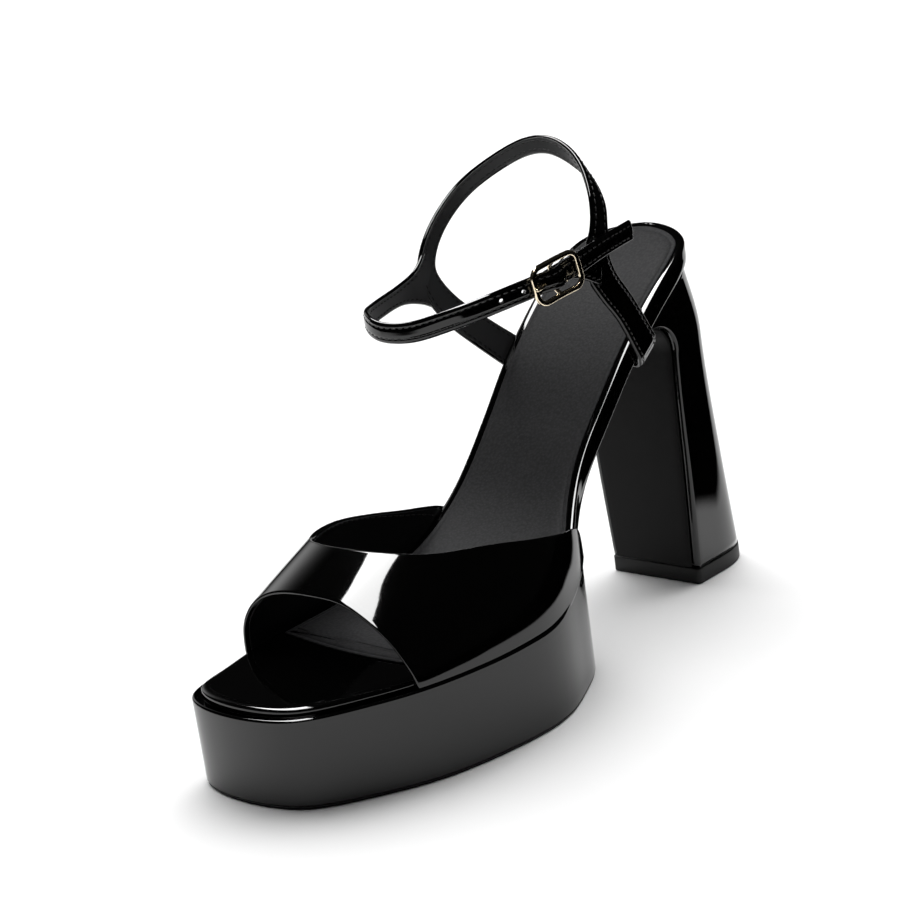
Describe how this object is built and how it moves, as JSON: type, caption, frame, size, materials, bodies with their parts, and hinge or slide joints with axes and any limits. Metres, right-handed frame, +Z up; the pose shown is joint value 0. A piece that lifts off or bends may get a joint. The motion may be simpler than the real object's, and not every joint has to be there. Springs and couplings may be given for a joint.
{
  "type": "platform sandal",
  "caption": "Platform sandal for the left foot: glossy band over the forefoot, open toe, buckled ankle strap and a flared block heel.",
  "frame": {"origin": "middle of the bounding box in plan, on the floor that the outsole and the top lift stand on", "axes": "+Z up, toe towards -Y and heel towards +Y, outer side of the foot towards +X"},
  "size_m": [0.0904, 0.2404, 0.1709],
  "materials": {
    "patent": "black patent gloss",
    "lining": "matte fine grain",
    "matte": "matte",
    "rubber": "matte",
    "gold": "polished pale gold"
  },
  "bodies": {
    "root": {"outsole": "rubber", "platform": "patent", "insole": "patent", "sock_lining": "lining", "vamp": "patent", "ankle_strap": "patent", "buckle_frame": "gold", "buckle_pin": "gold", "heel": "patent", "breast_cover": "matte", "top_lift": "rubber"}
  },
  "joints": []
}
